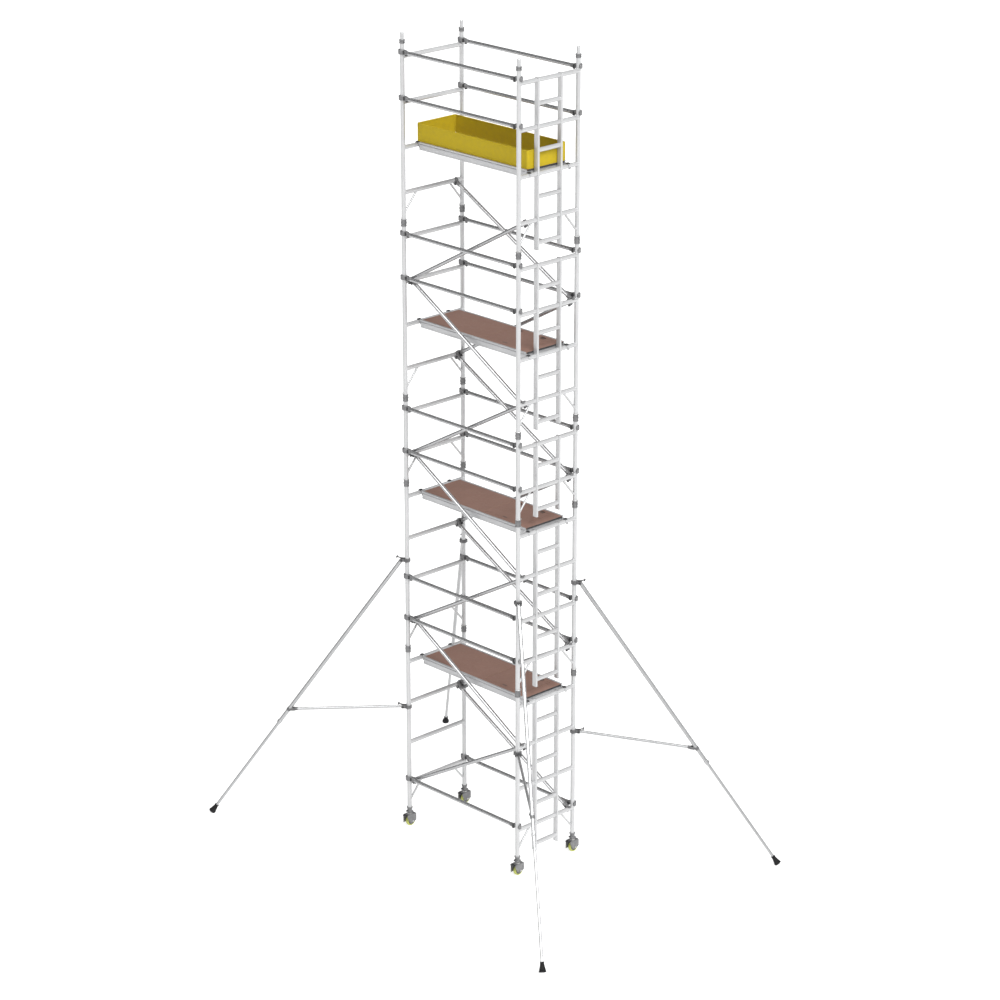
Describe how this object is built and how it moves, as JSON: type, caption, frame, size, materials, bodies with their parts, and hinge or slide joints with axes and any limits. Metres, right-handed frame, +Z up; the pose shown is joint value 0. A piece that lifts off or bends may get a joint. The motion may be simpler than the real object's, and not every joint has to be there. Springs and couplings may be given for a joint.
{
  "type": "mobile tower scaffold",
  "caption": "Tall narrow aluminium access tower on braked castors, with clip-on braces, trapdoor decks, toe boards and splayed telescopic stabilisers.",
  "frame": {"origin": "on the floor, at the centre of the tower", "axes": "+Z up, +X towards the ladder frames along the decks, +Y across the tower"},
  "size_m": [5.569, 3.804, 9.315],
  "materials": {
    "frame_alloy": "satin mill-finish aluminium tube",
    "brace_alloy": "satin mill-finish aluminium tube, darker",
    "stabiliser_alloy": "satin mill-finish aluminium tube",
    "deck_plywood": "brown phenolic-faced plywood, non-slip",
    "deck_beam": "extruded aluminium beam",
    "cast_grey": "grey cast metal and moulded nylon",
    "pedal_black": "black moulded plastic",
    "toe_board_yellow": "matt yellow board",
    "tyre_green": "yellow-green polyurethane tyre",
    "boot_rubber": "black rubber",
    "steel_zinc": "zinc-plated steel fittings"
  },
  "bodies": {
    "tower": {"span_frame_1": "frame_alloy", "ladder_frame_1": "frame_alloy", "span_frame_2": "frame_alloy", "ladder_frame_2": "frame_alloy", "span_frame_3": "frame_alloy", "ladder_frame_3": "frame_alloy", "span_frame_4": "frame_alloy", "ladder_frame_4": "frame_alloy", "span_frame_5": "frame_alloy", "ladder_frame_5": "frame_alloy", "brace_set_near_lower": "brace_alloy", "brace_set_near_middle": "brace_alloy", "brace_set_near_upper": "brace_alloy", "level_brace_near_5": "brace_alloy", "level_brace_near_9": "brace_alloy", "level_brace_near_13": "brace_alloy", "level_brace_near_16": "brace_alloy", "level_brace_near_17": "brace_alloy", "brace_set_far_lower": "brace_alloy", "brace_set_far_middle": "brace_alloy", "brace_set_far_upper": "brace_alloy", "level_brace_far_5": "brace_alloy", "level_brace_far_9": "brace_alloy", "level_brace_far_13": "brace_alloy", "level_brace_far_16": "brace_alloy", "level_brace_far_17": "brace_alloy", "deck_1": "deck_plywood", "deck_2": "deck_plywood", "deck_3": "deck_plywood", "deck_4": "deck_plywood", "toe_board_set": "toe_board_yellow"},
    "trapdoor_1": {"trapdoor_1": "deck_plywood"},
    "trapdoor_2": {"trapdoor_2": "deck_plywood"},
    "trapdoor_3": {"trapdoor_3": "deck_plywood"},
    "trapdoor_4": {"trapdoor_4": "deck_plywood"},
    "leg_span_near": {"adjustable_leg_span_near": "cast_grey"},
    "castor_span_near": {"castor_body_span_near": "cast_grey"},
    "wheel_span_near": {"castor_wheel_span_near": "tyre_green"},
    "pedal_span_near": {"brake_pedal_span_near": "pedal_black"},
    "stabiliser_span_near": {"stabiliser_arm_span_near": "stabiliser_alloy"},
    "stabiliser_foot_span_near": {"stabiliser_leg_span_near": "stabiliser_alloy"},
    "leg_span_far": {"adjustable_leg_span_far": "cast_grey"},
    "castor_span_far": {"castor_body_span_far": "cast_grey"},
    "wheel_span_far": {"castor_wheel_span_far": "tyre_green"},
    "pedal_span_far": {"brake_pedal_span_far": "pedal_black"},
    "stabiliser_span_far": {"stabiliser_arm_span_far": "stabiliser_alloy"},
    "stabiliser_foot_span_far": {"stabiliser_leg_span_far": "stabiliser_alloy"},
    "leg_ladder_near": {"adjustable_leg_ladder_near": "cast_grey"},
    "castor_ladder_near": {"castor_body_ladder_near": "cast_grey"},
    "wheel_ladder_near": {"castor_wheel_ladder_near": "tyre_green"},
    "pedal_ladder_near": {"brake_pedal_ladder_near": "pedal_black"},
    "stabiliser_ladder_near": {"stabiliser_arm_ladder_near": "stabiliser_alloy"},
    "stabiliser_foot_ladder_near": {"stabiliser_leg_ladder_near": "stabiliser_alloy"},
    "leg_ladder_far": {"adjustable_leg_ladder_far": "cast_grey"},
    "castor_ladder_far": {"castor_body_ladder_far": "cast_grey"},
    "wheel_ladder_far": {"castor_wheel_ladder_far": "tyre_green"},
    "pedal_ladder_far": {"brake_pedal_ladder_far": "pedal_black"},
    "stabiliser_ladder_far": {"stabiliser_arm_ladder_far": "stabiliser_alloy"},
    "stabiliser_foot_ladder_far": {"stabiliser_leg_ladder_far": "stabiliser_alloy"}
  },
  "joints": [
    {"name": "leg_height_span_near", "type": "slide", "parent": "tower", "child": "leg_span_near", "axis": [0, 0, -1], "range_m": [0, 0.25]},
    {"name": "castor_swivel_span_near", "type": "hinge", "parent": "leg_span_near", "child": "castor_span_near", "pos_m": [-0.893, -0.435, 0.15], "axis": [0, 0, 1], "continuous": true},
    {"name": "wheel_roll_span_near", "type": "hinge", "parent": "castor_span_near", "child": "wheel_span_near", "pos_m": [-0.893, -0.423, 0.0625], "axis": [1, 0, 0], "continuous": true},
    {"name": "brake_span_near", "type": "hinge", "parent": "castor_span_near", "child": "pedal_span_near", "pos_m": [-0.893, -0.491, 0.142], "axis": [-1, 0, 0], "range_deg": [0, 28]},
    {"name": "stabiliser_swing_span_near", "type": "hinge", "parent": "tower", "child": "stabiliser_span_near", "pos_m": [-0.893, -0.435, 2], "axis": [0, 0, 1], "range_deg": [-30, 30]},
    {"name": "stabiliser_extend_span_near", "type": "slide", "parent": "stabiliser_span_near", "child": "stabiliser_foot_span_near", "axis": [-0.4524, -0.3484, -0.821], "range_m": [0, 0.6]},
    {"name": "leg_height_span_far", "type": "slide", "parent": "tower", "child": "leg_span_far", "axis": [0, 0, -1], "range_m": [0, 0.25]},
    {"name": "castor_swivel_span_far", "type": "hinge", "parent": "leg_span_far", "child": "castor_span_far", "pos_m": [-0.893, 0.435, 0.15], "axis": [0, 0, 1], "continuous": true},
    {"name": "wheel_roll_span_far", "type": "hinge", "parent": "castor_span_far", "child": "wheel_span_far", "pos_m": [-0.893, 0.447, 0.0625], "axis": [1, 0, 0], "continuous": true},
    {"name": "brake_span_far", "type": "hinge", "parent": "castor_span_far", "child": "pedal_span_far", "pos_m": [-0.893, 0.379, 0.142], "axis": [-1, 0, 0], "range_deg": [0, 28]},
    {"name": "stabiliser_swing_span_far", "type": "hinge", "parent": "tower", "child": "stabiliser_span_far", "pos_m": [-0.893, 0.435, 2], "axis": [0, 0, 1], "range_deg": [-30, 30]},
    {"name": "stabiliser_extend_span_far", "type": "slide", "parent": "stabiliser_span_far", "child": "stabiliser_foot_span_far", "axis": [-0.4524, 0.3484, -0.821], "range_m": [0, 0.6]},
    {"name": "leg_height_ladder_near", "type": "slide", "parent": "tower", "child": "leg_ladder_near", "axis": [0, 0, -1], "range_m": [0, 0.25]},
    {"name": "castor_swivel_ladder_near", "type": "hinge", "parent": "leg_ladder_near", "child": "castor_ladder_near", "pos_m": [0.893, -0.435, 0.15], "axis": [0, 0, 1], "continuous": true},
    {"name": "wheel_roll_ladder_near", "type": "hinge", "parent": "castor_ladder_near", "child": "wheel_ladder_near", "pos_m": [0.893, -0.423, 0.0625], "axis": [1, 0, 0], "continuous": true},
    {"name": "brake_ladder_near", "type": "hinge", "parent": "castor_ladder_near", "child": "pedal_ladder_near", "pos_m": [0.893, -0.491, 0.142], "axis": [-1, 0, 0], "range_deg": [0, 28]},
    {"name": "stabiliser_swing_ladder_near", "type": "hinge", "parent": "tower", "child": "stabiliser_ladder_near", "pos_m": [0.893, -0.435, 2], "axis": [0, 0, 1], "range_deg": [-30, 30]},
    {"name": "stabiliser_extend_ladder_near", "type": "slide", "parent": "stabiliser_ladder_near", "child": "stabiliser_foot_ladder_near", "axis": [0.4524, -0.3484, -0.821], "range_m": [0, 0.6]},
    {"name": "leg_height_ladder_far", "type": "slide", "parent": "tower", "child": "leg_ladder_far", "axis": [0, 0, -1], "range_m": [0, 0.25]},
    {"name": "castor_swivel_ladder_far", "type": "hinge", "parent": "leg_ladder_far", "child": "castor_ladder_far", "pos_m": [0.893, 0.435, 0.15], "axis": [0, 0, 1], "continuous": true},
    {"name": "wheel_roll_ladder_far", "type": "hinge", "parent": "castor_ladder_far", "child": "wheel_ladder_far", "pos_m": [0.893, 0.447, 0.0625], "axis": [1, 0, 0], "continuous": true},
    {"name": "brake_ladder_far", "type": "hinge", "parent": "castor_ladder_far", "child": "pedal_ladder_far", "pos_m": [0.893, 0.379, 0.142], "axis": [-1, 0, 0], "range_deg": [0, 28]},
    {"name": "stabiliser_swing_ladder_far", "type": "hinge", "parent": "tower", "child": "stabiliser_ladder_far", "pos_m": [0.893, 0.435, 2], "axis": [0, 0, 1], "range_deg": [-30, 30]},
    {"name": "stabiliser_extend_ladder_far", "type": "slide", "parent": "stabiliser_ladder_far", "child": "stabiliser_foot_ladder_far", "axis": [0.4524, 0.3484, -0.821], "range_m": [0, 0.6]},
    {"name": "trapdoor_1_lid", "type": "hinge", "parent": "tower", "child": "trapdoor_1", "pos_m": [0.44, 0.2125, 2.1106], "axis": [-1, 0, 0], "range_deg": [0, 92]},
    {"name": "trapdoor_2_lid", "type": "hinge", "parent": "tower", "child": "trapdoor_2", "pos_m": [0.44, 0.2125, 4.1106], "axis": [-1, 0, 0], "range_deg": [0, 92]},
    {"name": "trapdoor_3_lid", "type": "hinge", "parent": "tower", "child": "trapdoor_3", "pos_m": [0.44, 0.2125, 6.1106], "axis": [-1, 0, 0], "range_deg": [0, 92]},
    {"name": "trapdoor_4_lid", "type": "hinge", "parent": "tower", "child": "trapdoor_4", "pos_m": [0.44, 0.2125, 8.1106], "axis": [-1, 0, 0], "range_deg": [0, 92]}
  ]
}
